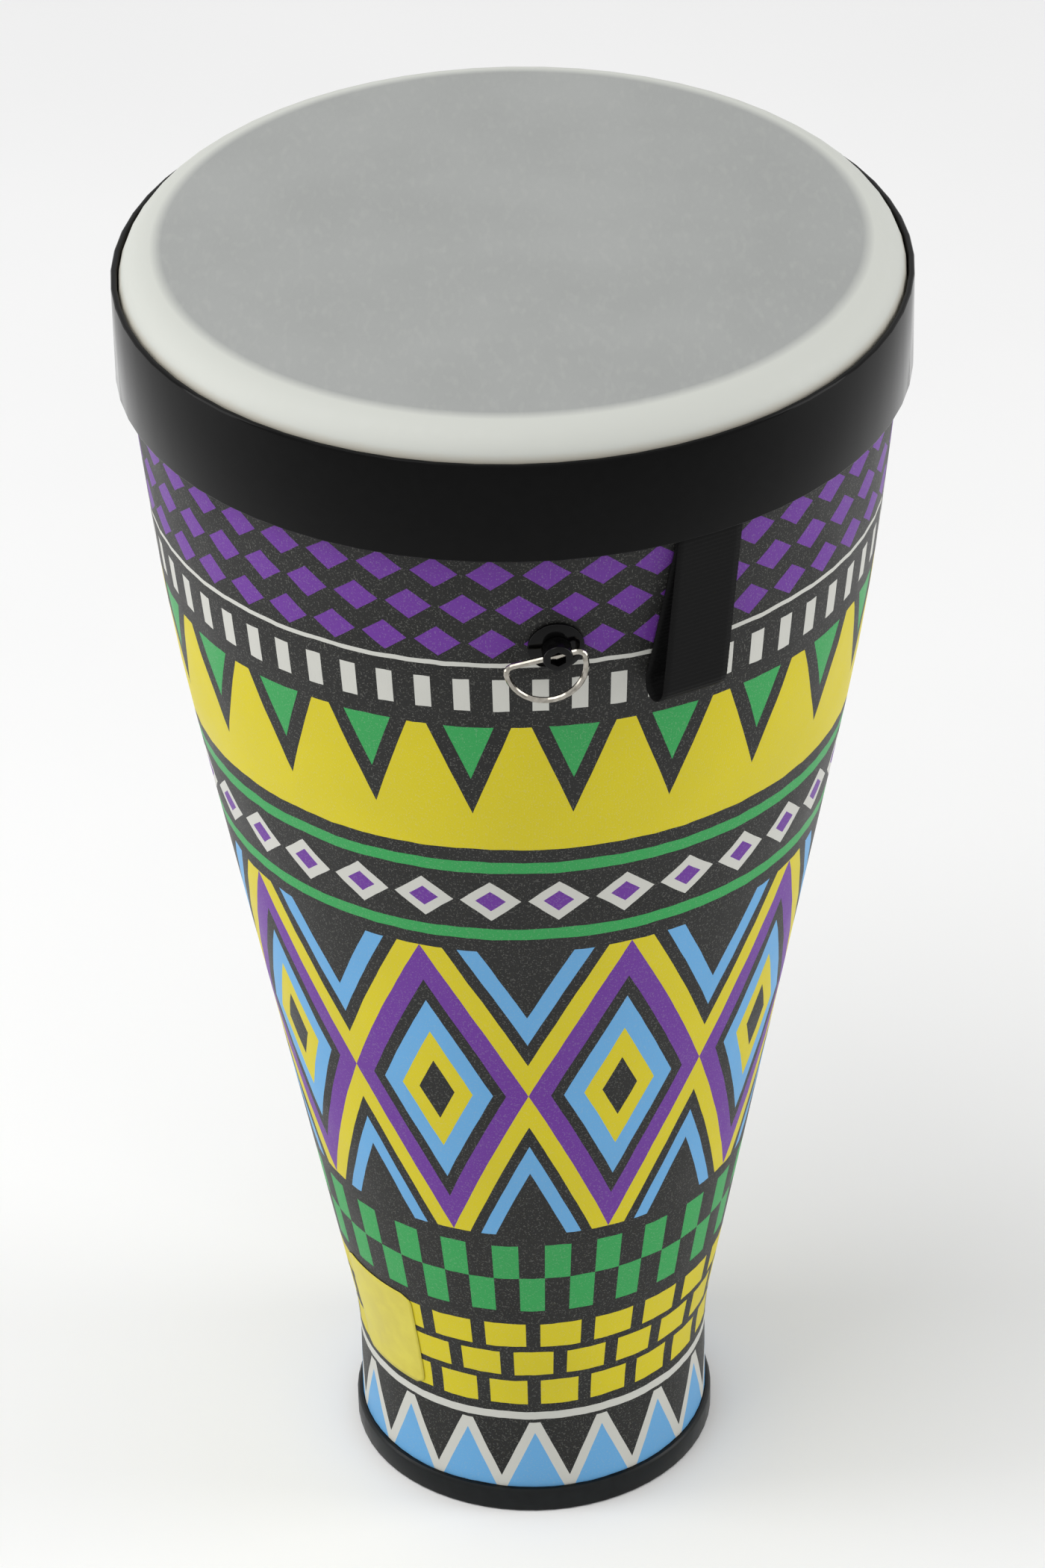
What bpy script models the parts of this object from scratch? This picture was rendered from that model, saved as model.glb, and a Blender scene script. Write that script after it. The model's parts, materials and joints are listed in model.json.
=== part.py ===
"""Timbal drum with a pre-tuned head, modelled piece by piece.

Metres, +Z up. The origin is the centre of the foot on the floor, and the front of the drum faces -Y.
Radii are measured from the drum's axis, and angles around it from the front towards +X.
"""
import math

import bmesh
import bpy
from mathutils import Matrix, Vector

# Clearance between pieces that seat on each other
SEAT_GAP = 0.0003

# Whole drum
OVERALL_HEIGHT = 0.4970
ROUND_STEPS = 64
SMALL_STEPS = 28

# Hoop: the plastic band around the head
HOOP_DIAMETER = 0.2700
HOOP_WALL = 0.0021
HOOP_HEIGHT = 0.0360
HOOP_TOP_EDGE = 0.0008
HOOP_LOWER_EDGE = 0.0004
HEAD_RISE = 0.0100

# Drumhead and the bearing ring that it is stretched over
HEAD_FILM = 0.0006
HEAD_RIM_RADIUS = 0.0141
COLLAR_DEPTH = 0.0310
RING_COUNTERCUT = 0.0050
RING_SEAT_DEPTH = 0.0181
RING_SKIRT_DEPTH = 0.0105
RING_SPIGOT_DEPTH = 0.0080
RING_EDGE = 0.0008

# Shell and the printed wrap on it
SHELL_WALL = 0.0047
WRAP_THICKNESS = 0.0006
WRAP_TUCK = 0.0130
FOOT_DIAMETER = 0.1280
FOOT_HEIGHT = 0.0513
FOOT_BLEND_RADIUS = 0.1400
SHOULDER_DIAMETER = 0.2426
SHOULDER_DROP = 0.0925
SHOULDER_BLEND_RADIUS = 0.8700

# Foot ring: a channel pushed over the shell's lower edge
FOOT_RING_WALL = 0.0018
FOOT_RING_HEIGHT = 0.0100
FOOT_RING_SOLE = 0.0030
FOOT_RING_BULLNOSE = 0.0016
FOOT_RING_LOWER_EDGE = 0.0010

# Strap lug: a cross-drilled cap screw through the shell, on a domed rosette
LUG_AZIMUTH = math.radians(5.3)
LUG_DROP = 0.0370
LUG_ROLL = math.radians(12.0)
ROSETTE_DIAMETER = 0.0188
ROSETTE_RIM = 0.0009
ROSETTE_CROWN = 0.0015
ROSETTE_EDGE = 0.0003
SCREW_HEAD_DIAMETER = 0.0100
SCREW_HEAD_HEIGHT = 0.0056
SCREW_HEAD_EDGE = 0.0005
SCREW_STEM_DIAMETER = 0.0057
SCREW_END_PROUD = 0.0015
SOCKET_ACROSS_FLATS = 0.0050
CROSS_HOLE_COVER = 0.00075
WASHER_DIAMETER = 0.0180
WASHER_THICKNESS = 0.0012
NUT_ACROSS_FLATS = 0.0100
NUT_HEIGHT = 0.0050

# D-ring: bent wire whose straight bar turns in the screw's cross hole
RING_WIRE_DIAMETER = 0.0021
RING_WIDTH = 0.0285
RING_DROP = 0.0160
RING_CORNER_RADIUS = 0.0025
RING_SLIDE = 0.0045
RING_JOINT_GAP = 0.0004
RING_BEVEL_RESOLUTION = 3

# Webbing loop: one strip, both ends held under the hoop, hanging open at the fold
WEBBING_AZIMUTH = math.radians(28.2)
WEBBING_WIDTH = 0.0240
WEBBING_THICKNESS = 0.00075
WEBBING_DROP = 0.0600
WEBBING_FOLD_RADIUS = 0.0059
WEBBING_LEAN = math.radians(8.8)
WEBBING_TAIL_SHOW = 0.0005
WEBBING_TAIL_TUCK = 0.0127
WEBBING_TAIL_STEPS = 6

# Tacks that fix the ends of the strip to the shell, hidden under the hoop
TACK_SPACING = 0.0120
TACK_HEAD_DIAMETER = 0.0045
TACK_HEAD_THICKNESS = 0.0005
TACK_SHANK_DIAMETER = 0.0016
TACK_LENGTH = 0.0050
TACK_STEPS = 12

# Places worked out from the sizes above
HOOP_TOP = OVERALL_HEIGHT - HEAD_RISE
HOOP_LOW = HOOP_TOP - HOOP_HEIGHT
HOOP_INNER = HOOP_DIAMETER / 2 - HOOP_WALL
HEAD_OUTER = HOOP_INNER - SEAT_GAP
CREST_RADIUS = HEAD_OUTER - HEAD_RIM_RADIUS
RING_OUTER = HEAD_OUTER - HEAD_FILM - SEAT_GAP
RING_CREST = OVERALL_HEIGHT - HEAD_FILM - SEAT_GAP
MOUTH_RADIUS = HOOP_INNER - 2 * WEBBING_THICKNESS - 2 * SEAT_GAP
SHELL_MOUTH = MOUTH_RADIUS - WRAP_THICKNESS - SEAT_GAP
SHELL_TOP = RING_CREST - RING_SEAT_DEPTH - SEAT_GAP
SHELL_LOW = FOOT_RING_SOLE + SEAT_GAP
WRAP_TOP = HOOP_LOW + WRAP_TUCK
LUG_HEIGHT = HOOP_LOW - LUG_DROP


def rounded(corners, segments=3, closed=True):
    """Points of an outline whose corners (x, y, radius) are rounded by arcs, no wider than their sides allow."""
    count = len(corners)
    points = []
    for index, (x, y, radius) in enumerate(corners):
        corner = Vector((x, y))
        at_end = not closed and index in (0, count - 1)
        if radius <= 0 or at_end:
            points.append(corner)
            continue
        before = corners[index - 1]
        after = corners[(index + 1) % count]
        back = Vector(before[:2]) - corner
        ahead = Vector(after[:2]) - corner
        half = back.angle(ahead) / 2
        room = min(
            back.length * (0.5 if before[2] > 0 else 1.0),
            ahead.length * (0.5 if after[2] > 0 else 1.0),
        )
        reach = min(radius / math.tan(half), room)
        arc_radius = reach * math.tan(half)
        start = corner + back.normalized() * reach
        centre = corner + (back.normalized() + ahead.normalized()).normalized() * (arc_radius / math.sin(half))
        spoke = start - centre
        sweep = spoke.angle_signed(corner + ahead.normalized() * reach - centre)
        for step in range(segments + 1):
            turn = -sweep * step / segments
            points.append(centre + Matrix.Rotation(turn, 2) @ spoke)
    kept = []
    for point in points:
        if not kept or (point - kept[-1]).length > 1e-7:
            kept.append(point)
    return kept


def wall_line():
    """The printed wrap's outer face from the floor to the shell's top, as (radius, height) points."""
    corners = [
        (FOOT_DIAMETER / 2, 0.0, 0.0),
        (FOOT_DIAMETER / 2, FOOT_HEIGHT, FOOT_BLEND_RADIUS),
        (SHOULDER_DIAMETER / 2, HOOP_LOW - SHOULDER_DROP, SHOULDER_BLEND_RADIUS),
        (MOUTH_RADIUS, HOOP_LOW, 0.0),
        (MOUTH_RADIUS, SHELL_TOP, 0.0),
    ]
    return rounded(corners, segments=3, closed=False)


def wall_radius(height):
    """Radius of the wrap's outer face at a height."""
    line = wall_line()
    for low, high in zip(line, line[1:]):
        if height <= high.y:
            share = (height - low.y) / (high.y - low.y)
            return low.x + (high.x - low.x) * share
    return line[-1].x


def wall_tilt(height):
    """Angle by which the wall leans outwards at a height."""
    step = 0.0005
    return math.atan2(wall_radius(height + step) - wall_radius(height - step), 2 * step)


def wall_face(inset, low, high):
    """Points of the face that lies inset inside the wrap's outer face, from high down to low."""
    between = [point.y for point in wall_line() if low < point.y < high]
    heights = [high] + sorted(between, reverse=True) + [low]
    return [(wall_radius(height) - inset, height) for height in heights]


def outward(azimuth):
    """Horizontal unit vector that points out of the drum at an angle from the front."""
    return Vector((math.sin(azimuth), -math.cos(azimuth), 0.0))


def sideways(azimuth):
    """Horizontal unit vector along the wall, to the right as seen from outside."""
    return Vector((math.cos(azimuth), math.sin(azimuth), 0.0))


def frame_matrix(origin, x_axis, y_axis, z_axis):
    """Matrix of a frame with the given origin and axes."""
    turn = Matrix((x_axis, y_axis, z_axis)).transposed()
    return Matrix.Translation(origin) @ turn.to_4x4()


def lug_frame():
    """Frame on the wrap's outer face at the lug: X along the wall, Y up it, Z straight out of it."""
    tilt = wall_tilt(LUG_HEIGHT)
    out = outward(LUG_AZIMUTH)
    x_axis = sideways(LUG_AZIMUTH)
    z_axis = out * math.cos(tilt) - Vector((0, 0, math.sin(tilt)))
    y_axis = z_axis.cross(x_axis)
    origin = out * wall_radius(LUG_HEIGHT) + Vector((0, 0, LUG_HEIGHT))
    return frame_matrix(origin, x_axis, y_axis, z_axis)


def material(name, colour, roughness, metallic=0.0):
    """A Principled material with one colour."""
    made = bpy.data.materials.new(name)
    made.use_nodes = True
    shader = made.node_tree.nodes["Principled BSDF"]
    shader.inputs["Base Color"].default_value = (*colour, 1.0)
    shader.inputs["Roughness"].default_value = roughness
    shader.inputs["Metallic"].default_value = metallic
    made.diffuse_color = (*colour, 1.0)
    return made


def add_object(name, data, collection, surface=None, matrix=None):
    """Link a new object with its material and place."""
    made = bpy.data.objects.new(name, data)
    collection.objects.link(made)
    if surface is not None:
        data.materials.append(surface)
    if matrix is not None:
        made.matrix_world = matrix
    return made


def add_empty(name, matrix, collection):
    """An empty that carries the pieces of one axis."""
    made = bpy.data.objects.new(name, None)
    made.empty_display_size = 0.01
    collection.objects.link(made)
    made.matrix_world = matrix
    return made


def hang_on(piece, carrier):
    """Parent a piece to a carrier and keep its place."""
    bpy.context.view_layer.update()
    placed = piece.matrix_world.copy()
    piece.parent = carrier
    piece.matrix_parent_inverse = carrier.matrix_world.inverted()
    piece.matrix_world = placed


def settle(piece):
    """Turn a piece's modifiers into its mesh, shaded smooth with its hard edges kept sharp."""
    depsgraph = bpy.context.evaluated_depsgraph_get()
    evaluated = piece.evaluated_get(depsgraph)
    mesh = bpy.data.meshes.new_from_object(evaluated)
    mesh.name = piece.name
    piece.modifiers.clear()
    piece.data = mesh
    mesh.shade_smooth()
    mesh.set_sharp_from_angle(angle=math.radians(30))


def turned(name, profile, steps, collection, surface=None, matrix=None, closed=True, angle=2 * math.pi):
    """A profile of (radius, height) points turned about the object's Z axis."""
    mesh = bpy.data.meshes.new(name)
    count = len(profile)
    edges = [(index, index + 1) for index in range(count - 1)]
    if closed:
        edges.append((count - 1, 0))
    mesh.from_pydata([(radius, 0.0, height) for radius, height in profile], edges, [])
    piece = add_object(name, mesh, collection, surface, matrix)
    turn = piece.modifiers.new("Turn", "SCREW")
    turn.angle = angle
    turn.steps = steps
    turn.render_steps = steps
    turn.use_merge_vertices = True
    turn.merge_threshold = 0.00001
    return piece


def prism(name, radius, low, high, sides, collection, surface=None, matrix=None):
    """A straight prism or cylinder along the object's Z axis."""
    mesh = bpy.data.meshes.new(name)
    shape = bmesh.new()
    middle = Matrix.Translation((0, 0, (low + high) / 2))
    bmesh.ops.create_cone(shape, cap_ends=True, segments=sides, radius1=radius, radius2=radius,
                          depth=high - low, matrix=middle)
    shape.to_mesh(mesh)
    shape.free()
    return add_object(name, mesh, collection, surface, matrix)


def mesh_from_curve(curve, collection, surface):
    """Replace a curve object by one welded mesh object in the same place."""
    bpy.context.view_layer.update()
    depsgraph = bpy.context.evaluated_depsgraph_get()
    mesh = bpy.data.meshes.new_from_object(curve.evaluated_get(depsgraph))
    shape = bmesh.new()
    shape.from_mesh(mesh)
    bmesh.ops.remove_doubles(shape, verts=shape.verts, dist=0.000005)
    bmesh.ops.recalc_face_normals(shape, faces=shape.faces)
    shape.to_mesh(mesh)
    shape.free()
    mesh.materials.clear()
    name = curve.name
    place = curve.matrix_world.copy()
    bpy.data.objects.remove(curve, do_unlink=True)
    mesh.name = name
    piece = add_object(name, mesh, collection, surface, place)
    piece.name = name
    mesh.shade_smooth()
    mesh.set_sharp_from_angle(angle=math.radians(30))
    return piece


def poly_spline(curve, points, closed):
    """Add one straight-sided spline to a curve."""
    spline = curve.splines.new("POLY")
    spline.points.add(len(points) - 1)
    for slot, point in zip(spline.points, points):
        slot.co = (*point, 1.0)
    spline.use_cyclic_u = closed


def cutter(piece):
    """Mark an object as a cutter."""
    piece.hide_render = True
    piece.display_type = "WIRE"
    return piece


def cut(piece, tool):
    """Take a cutter's shape out of a piece."""
    taken = piece.modifiers.new("Cut " + tool.name, "BOOLEAN")
    taken.operation = "DIFFERENCE"
    taken.solver = "EXACT"
    taken.object = tool


def make_shell(parts, holes):
    """The tapered fibreboard shell, open at both ends."""
    surface = material("fibreboard", (0.30, 0.21, 0.13), 0.85)
    skin = WRAP_THICKNESS + SEAT_GAP
    outer = wall_face(skin, SHELL_LOW, SHELL_TOP)
    inner = wall_face(skin + SHELL_WALL, SHELL_LOW, SHELL_TOP)
    shell = turned("shell", outer + inner[::-1], ROUND_STEPS, parts, surface)
    for hole in holes:
        cut(shell, hole)
    settle(shell)


def make_wrap(parts, holes):
    """The printed and laminated skin on the shell, tucked under the hoop and into the foot ring."""
    surface = material("printed_fabric", (0.05, 0.05, 0.05), 0.45)
    outer = wall_face(0.0, SHELL_LOW, WRAP_TOP)
    inner = wall_face(WRAP_THICKNESS, SHELL_LOW, WRAP_TOP)
    wrap = turned("printed_wrap", outer + inner[::-1], ROUND_STEPS, parts, surface)
    for hole in holes:
        cut(wrap, hole)
    settle(wrap)


def make_bearing_ring(parts):
    """The ring on the shell's upper edge: round over outside, cut away inside, with a skirt and a spigot."""
    surface = material("bearing_ring_plastic", (0.045, 0.045, 0.05), 0.6)
    seat = RING_CREST - RING_SEAT_DEPTH
    inner = CREST_RADIUS - RING_COUNTERCUT
    skirt_inner = SHELL_MOUTH + SEAT_GAP
    spigot_outer = SHELL_MOUTH - SHELL_WALL - SEAT_GAP
    corners = [
        (CREST_RADIUS, RING_CREST, 0.0),
        (RING_OUTER, RING_CREST, HEAD_RIM_RADIUS - HEAD_FILM - SEAT_GAP),
        (RING_OUTER, seat - RING_SKIRT_DEPTH, 0.0),
        (skirt_inner, seat - RING_SKIRT_DEPTH, 0.0),
        (skirt_inner, seat, 0.0),
        (spigot_outer, seat, 0.0),
        (spigot_outer, seat - RING_SPIGOT_DEPTH, RING_EDGE),
        (inner, seat - RING_SPIGOT_DEPTH, RING_EDGE),
        (inner, RING_CREST - RING_COUNTERCUT, 0.0),
    ]
    settle(turned("bearing_ring", rounded(corners, segments=5), ROUND_STEPS, parts, surface))


def make_head(parts):
    """The synthetic skin: a flat playing face, a rounded rim and a collar bonded outside the bearing ring."""
    surface = material("coated_head", (0.42, 0.43, 0.42), 0.75)
    under = OVERALL_HEIGHT - HEAD_FILM
    collar_low = OVERALL_HEIGHT - COLLAR_DEPTH
    collar_inner = HEAD_OUTER - HEAD_FILM
    corners = [
        (0.0, OVERALL_HEIGHT, 0.0),
        (HEAD_OUTER, OVERALL_HEIGHT, HEAD_RIM_RADIUS),
        (HEAD_OUTER, collar_low, 0.0),
        (collar_inner, collar_low, 0.0),
        (collar_inner, under, HEAD_RIM_RADIUS - HEAD_FILM),
        (0.0, under, 0.0),
    ]
    profile = rounded(corners, segments=6, closed=False)
    settle(turned("drumhead", profile, ROUND_STEPS, parts, surface, closed=False))


def make_hoop(parts):
    """The glossy band pressed over the head's collar."""
    surface = material("gloss_black_plastic", (0.01, 0.01, 0.01), 0.12)
    corners = [
        (HOOP_DIAMETER / 2, HOOP_TOP, HOOP_TOP_EDGE),
        (HOOP_DIAMETER / 2, HOOP_LOW, HOOP_LOWER_EDGE),
        (HOOP_INNER, HOOP_LOW, HOOP_LOWER_EDGE),
        (HOOP_INNER, HOOP_TOP, HOOP_TOP_EDGE),
    ]
    settle(turned("hoop", rounded(corners), ROUND_STEPS, parts, surface))


def make_foot_ring(parts):
    """The rubber channel around the shell's lower edge, on which the drum stands."""
    surface = material("black_rubber", (0.012, 0.014, 0.015), 0.5)
    skin_outer = FOOT_DIAMETER / 2 + SEAT_GAP
    skin_inner = FOOT_DIAMETER / 2 - WRAP_THICKNESS - SEAT_GAP - SHELL_WALL - SEAT_GAP
    outer = skin_outer + FOOT_RING_WALL
    inner = skin_inner - FOOT_RING_WALL
    corners = [
        (outer, FOOT_RING_HEIGHT, FOOT_RING_BULLNOSE),
        (outer, 0.0, FOOT_RING_LOWER_EDGE),
        (inner, 0.0, FOOT_RING_LOWER_EDGE),
        (inner, FOOT_RING_HEIGHT, FOOT_RING_BULLNOSE),
        (skin_inner, FOOT_RING_HEIGHT, 0.0),
        (skin_inner, FOOT_RING_SOLE, 0.0),
        (skin_outer, FOOT_RING_SOLE, 0.0),
        (skin_outer, FOOT_RING_HEIGHT, 0.0),
    ]
    settle(turned("foot_ring", rounded(corners), ROUND_STEPS, parts, surface))


def wall_depth():
    """Distance from the wrap's outer face to the shell's inner face, straight through the wall at the lug."""
    return (WRAP_THICKNESS + SEAT_GAP + SHELL_WALL) * math.cos(wall_tilt(LUG_HEIGHT))


def washer_face():
    """Height in the lug's frame of the inner washer's outer face, which bridges the shell's hollow inside."""
    hollow = wall_radius(LUG_HEIGHT) - WRAP_THICKNESS - SEAT_GAP - SHELL_WALL
    rise = hollow - math.sqrt(hollow ** 2 - (WASHER_DIAMETER / 2) ** 2)
    return -(wall_depth() + rise + SEAT_GAP)


def head_seat():
    """Height in the lug's frame of the screw head's underside."""
    return SEAT_GAP + ROSETTE_CROWN + SEAT_GAP


def bar_height():
    """Height in the lug's frame of the D-ring's bar."""
    return head_seat() + SCREW_HEAD_HEIGHT - CROSS_HOLE_COVER - SEAT_GAP - RING_WIRE_DIAMETER / 2


def stem_bore():
    """Radius of the holes that the screw's stem passes through."""
    return SCREW_STEM_DIAMETER / 2 + SEAT_GAP


def make_stem_hole(cutters, place):
    """Cutter for the hole through the wrap and the shell."""
    reach = wall_depth() * 2
    return cutter(prism("stem_hole", stem_bore(), -reach, reach, SMALL_STEPS, cutters, matrix=place))


def make_rosette(parts, place, carrier):
    """The domed washer under the screw's head."""
    surface = material("black_metal", (0.01, 0.01, 0.01), 0.25, 0.6)
    corners = [
        (stem_bore(), SEAT_GAP + ROSETTE_CROWN, 0.0),
        (SCREW_HEAD_DIAMETER / 2, SEAT_GAP + ROSETTE_CROWN, ROSETTE_EDGE),
        (ROSETTE_DIAMETER / 2, SEAT_GAP + ROSETTE_RIM, ROSETTE_EDGE),
        (ROSETTE_DIAMETER / 2, SEAT_GAP, 0.0),
        (stem_bore(), SEAT_GAP, 0.0),
    ]
    rosette = turned("lug_rosette", rounded(corners), SMALL_STEPS, parts, surface, place)
    settle(rosette)
    hang_on(rosette, carrier)


def make_screw(parts, cutters, place, carrier):
    """The cap screw: hexagon socket in its face, and a cross hole through its head for the D-ring's bar."""
    surface = material("black_screw", (0.012, 0.012, 0.012), 0.3, 0.6)
    face = head_seat() + SCREW_HEAD_HEIGHT
    tip = washer_face() - WASHER_THICKNESS - SEAT_GAP - NUT_HEIGHT - SCREW_END_PROUD
    corners = [
        (0.0, face, 0.0),
        (SCREW_HEAD_DIAMETER / 2, face, SCREW_HEAD_EDGE),
        (SCREW_HEAD_DIAMETER / 2, head_seat(), 0.0),
        (SCREW_STEM_DIAMETER / 2, head_seat(), 0.0),
        (SCREW_STEM_DIAMETER / 2, tip, SCREW_HEAD_EDGE),
        (0.0, tip, 0.0),
    ]
    screw = turned("lug_screw", rounded(corners, closed=False), SMALL_STEPS, parts, surface, place, closed=False)
    socket_radius = SOCKET_ACROSS_FLATS / 2 / math.cos(math.pi / 6)
    socket_floor = bar_height() - RING_WIRE_DIAMETER / 2
    socket = prism("socket", socket_radius, socket_floor, face + SCREW_HEAD_HEIGHT, 6, cutters, matrix=place)
    cut(screw, cutter(socket))
    along_bar = Matrix.Rotation(LUG_ROLL, 4, "Z") @ Matrix.Rotation(math.pi / 2, 4, "Y")
    hole_place = place @ Matrix.Translation((0, 0, bar_height())) @ along_bar
    hole_radius = RING_WIRE_DIAMETER / 2 + SEAT_GAP
    hole = prism("cross_hole", hole_radius, -SCREW_HEAD_DIAMETER, SCREW_HEAD_DIAMETER, 16, cutters,
                 matrix=hole_place)
    cut(screw, cutter(hole))
    settle(screw)
    hang_on(screw, carrier)


def make_washer(parts, place, carrier):
    """The plain washer inside the shell."""
    surface = material("zinc_washer", (0.55, 0.55, 0.56), 0.35, 1.0)
    outer_face = washer_face()
    corners = [
        (stem_bore(), outer_face, 0.0),
        (WASHER_DIAMETER / 2, outer_face, 0.0),
        (WASHER_DIAMETER / 2, outer_face - WASHER_THICKNESS, 0.0),
        (stem_bore(), outer_face - WASHER_THICKNESS, 0.0),
    ]
    washer = turned("lug_inner_washer", rounded(corners), SMALL_STEPS, parts, surface, place)
    settle(washer)
    hang_on(washer, carrier)


def make_nut(parts, cutters, place, carrier):
    """The hexagon nut on the screw's end, inside the shell."""
    surface = material("zinc_nut", (0.52, 0.52, 0.54), 0.35, 1.0)
    high = washer_face() - WASHER_THICKNESS - SEAT_GAP
    low = high - NUT_HEIGHT
    radius = NUT_ACROSS_FLATS / 2 / math.cos(math.pi / 6)
    nut = prism("lug_nut", radius, low, high, 6, parts, surface, place)
    bore = prism("nut_bore", stem_bore(), low - NUT_HEIGHT, high + NUT_HEIGHT, SMALL_STEPS, cutters, matrix=place)
    cut(nut, cutter(bore))
    settle(nut)
    hang_on(nut, carrier)


def d_ring_frame(place):
    """Frame of the D-ring's hinge: X along its bar, Z straight against the pull of the hanging ring."""
    turn = place.to_3x3()
    bar = (turn @ Vector((math.cos(LUG_ROLL), math.sin(LUG_ROLL), 0.0))).normalized()
    up = Vector((0, 0, 1))
    z_axis = (up - bar * up.dot(bar)).normalized()
    y_axis = z_axis.cross(bar)
    origin = place @ Vector((0, 0, bar_height()))
    return frame_matrix(origin, bar, y_axis, z_axis)


def make_d_ring(parts, place, carrier):
    """The wire D, its two ends meeting inside the screw's head."""
    surface = material("nickel_wire", (0.72, 0.70, 0.66), 0.18, 1.0)
    half_width = (RING_WIDTH - RING_WIRE_DIAMETER) / 2
    leg = RING_DROP - half_width
    joint = (SCREW_HEAD_DIAMETER + SOCKET_ACROSS_FLATS) / 4
    right = half_width - RING_SLIDE
    left = -half_width - RING_SLIDE
    start = rounded([(joint + RING_JOINT_GAP / 2, 0.0, 0.0), (right, 0.0, RING_CORNER_RADIUS),
                     (right, -leg, 0.0)], closed=False)
    finish = rounded([(joint - RING_JOINT_GAP / 2, 0.0, 0.0), (left, 0.0, RING_CORNER_RADIUS),
                      (left, -leg, 0.0)], closed=False)
    arc_steps = 16
    arc = []
    for step in range(1, arc_steps):
        turn = math.pi * step / arc_steps
        across = half_width * math.cos(turn) - RING_SLIDE
        arc.append(Vector((across, -leg - half_width * math.sin(turn))))
    path = start + arc + finish[::-1]
    curve = bpy.data.curves.new("d_ring", "CURVE")
    curve.dimensions = "3D"
    curve.bevel_depth = RING_WIRE_DIAMETER / 2
    curve.bevel_resolution = RING_BEVEL_RESOLUTION
    curve.use_fill_caps = True
    poly_spline(curve, [(point.x, 0.0, point.y) for point in path], closed=False)
    wire = add_object("d_ring", curve, parts, matrix=place)
    ring = mesh_from_curve(wire, parts, surface)
    hang_on(ring, carrier)


def belt(near_centre, near_radius, far_centre, far_radius, segments):
    """Closed outline of a belt that runs tight around two circles."""
    line = far_centre - near_centre
    swing = math.asin((far_radius - near_radius) / line.length)
    heading = math.atan2(line.y, line.x)
    points = []
    for centre, radius, start, sweep in (
        (near_centre, near_radius, heading + math.pi / 2 + swing, math.pi - 2 * swing),
        (far_centre, far_radius, heading - math.pi / 2 - swing, math.pi + 2 * swing),
    ):
        for step in range(segments + 1):
            turn = start + sweep * step / segments
            points.append(centre + Vector((math.cos(turn), math.sin(turn))) * radius)
    return points


def webbing_hinge_radius():
    """Half the thickness of the loop where its two layers meet under the hoop."""
    return WEBBING_THICKNESS + SEAT_GAP / 3


def webbing_frame():
    """Frame of the loop's hinge line: X straight out of the wall, Y up along it, Z along the hinge line."""
    height = HOOP_LOW - WEBBING_TAIL_SHOW - SEAT_GAP - webbing_hinge_radius()
    tilt = wall_tilt(height - WEBBING_DROP / 4)
    out = outward(WEBBING_AZIMUTH)
    x_axis = out * math.cos(tilt) - Vector((0, 0, math.sin(tilt)))
    z_axis = -sideways(WEBBING_AZIMUTH)
    y_axis = z_axis.cross(x_axis)
    stand_off = (SEAT_GAP + webbing_hinge_radius()) / math.cos(tilt)
    origin = out * (wall_radius(height) + stand_off) + Vector((0, 0, height))
    return frame_matrix(origin, x_axis, y_axis, z_axis)


def tack_frames():
    """Frames on the hoop's inner face at each tack: Z straight out, the origin at the tack's crown."""
    crown = HOOP_INNER - 2 * SEAT_GAP
    height = HOOP_LOW + WEBBING_TAIL_TUCK / 2
    places = []
    for side in (-1, 1):
        azimuth = WEBBING_AZIMUTH + side * TACK_SPACING / 2 / crown
        origin = outward(azimuth) * crown + Vector((0, 0, height))
        places.append(frame_matrix(origin, sideways(azimuth), Vector((0, 0, 1)), outward(azimuth)))
    return places


def make_tack_cutters(cutters):
    """Cutters for the tacks' heads in the webbing, and for their shanks in all that they go through."""
    pockets = []
    holes = []
    pocket_radius = TACK_HEAD_DIAMETER / 2 + SEAT_GAP
    hole_radius = TACK_SHANK_DIAMETER / 2 + SEAT_GAP
    for index, place in enumerate(tack_frames()):
        pocket = prism("tack_pocket_" + str(index + 1), pocket_radius, -TACK_HEAD_THICKNESS - SEAT_GAP,
                       TACK_HEAD_THICKNESS, TACK_STEPS, cutters, matrix=place)
        hole = prism("tack_hole_" + str(index + 1), hole_radius, -TACK_LENGTH - SEAT_GAP,
                     TACK_HEAD_THICKNESS, TACK_STEPS, cutters, matrix=place)
        pockets.append(cutter(pocket))
        holes.append(cutter(hole))
    return pockets, holes


def make_tacks(parts):
    """The two tacks that fix the ends of the webbing to the shell."""
    surface = material("tack_steel", (0.4, 0.4, 0.42), 0.4, 1.0)
    corners = [
        (0.0, 0.0),
        (TACK_HEAD_DIAMETER / 2, 0.0),
        (TACK_HEAD_DIAMETER / 2, -TACK_HEAD_THICKNESS),
        (TACK_SHANK_DIAMETER / 2, -TACK_HEAD_THICKNESS),
        (TACK_SHANK_DIAMETER / 2, -TACK_LENGTH),
        (0.0, -TACK_LENGTH),
    ]
    for index, place in enumerate(tack_frames()):
        name = "webbing_tack_" + str(index + 1)
        settle(turned(name, corners, TACK_STEPS, parts, surface, place, closed=False))


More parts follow.
